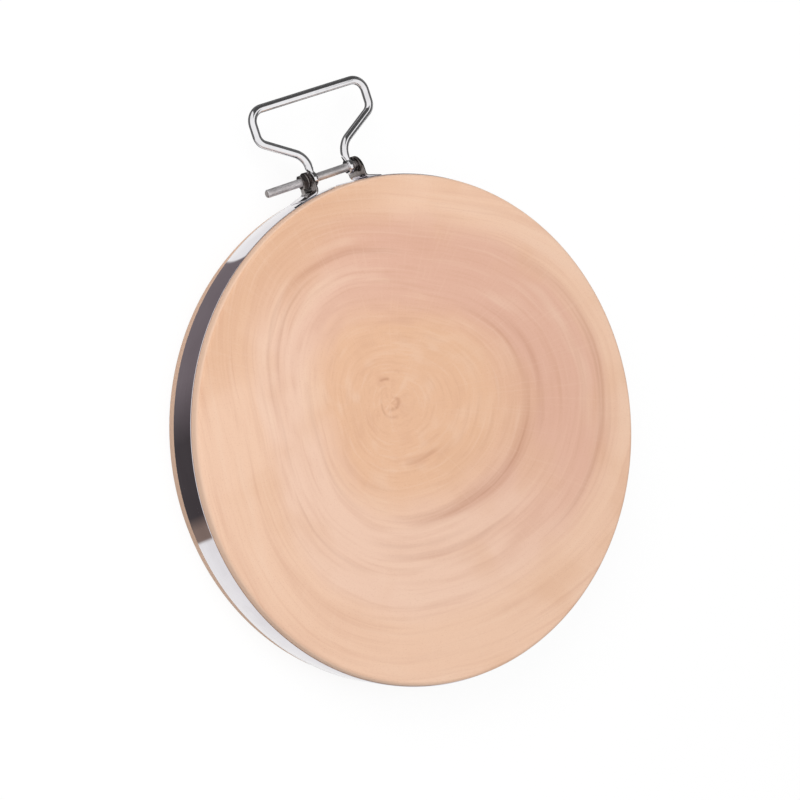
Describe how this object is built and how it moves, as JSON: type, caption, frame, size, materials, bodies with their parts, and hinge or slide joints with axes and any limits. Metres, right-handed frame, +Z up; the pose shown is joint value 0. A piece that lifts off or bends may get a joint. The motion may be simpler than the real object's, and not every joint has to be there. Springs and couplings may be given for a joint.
{
  "type": "round cutting board",
  "caption": "Round end-grain wooden chopping board held by a clamped polished steel hoop, with a wire bail that swings on the hoop's clamp bolt for carrying and hanging.",
  "frame": {"origin": "centre of the flat lower face that the board rests on", "axes": "+Z up along the board's axis to the pictured cutting face, +Y from the centre out through the middle of the bail, +X along the clamp bolt towards its head"},
  "size_m": [0.3026, 0.3607, 0.038],
  "materials": {
    "end_grain_wood": "planed and sanded end grain, bare, satin",
    "polished_hoop": "mirror-polished stainless strip",
    "bent_ears": "bent stainless sheet, mill finish",
    "fasteners": "bright machine-screw steel",
    "bail_wire": "polished stainless wire"
  },
  "bodies": {
    "board": {"board_block": "end_grain_wood", "hoop_band": "polished_hoop", "left_lug": "bent_ears", "right_lug": "bent_ears", "clamp_bolt": "fasteners"},
    "washer": {"nut_washer": "fasteners"},
    "nut": {"clamp_nut": "fasteners"},
    "bail": {"bail_handle": "bail_wire"}
  },
  "joints": [
    {"name": "bail_swing", "type": "hinge", "parent": "board", "child": "bail", "pos_m": [0, 0.1594, 0.021], "axis": [1, 0, 0], "range_deg": [-115, 117]},
    {"name": "nut_travel", "type": "slide", "parent": "board", "child": "washer", "axis": [-1, 0, 0], "range_m": [0, 0.016]},
    {"name": "nut_turn", "type": "hinge", "parent": "washer", "child": "nut", "pos_m": [-0.0203, 0.1594, 0.021], "axis": [-1, 0, 0], "range_deg": [0, 7200]}
  ],
  "couplings": [
    {"joint": "nut_turn", "follows": "nut_travel", "rad_per_m": 7854}
  ]
}
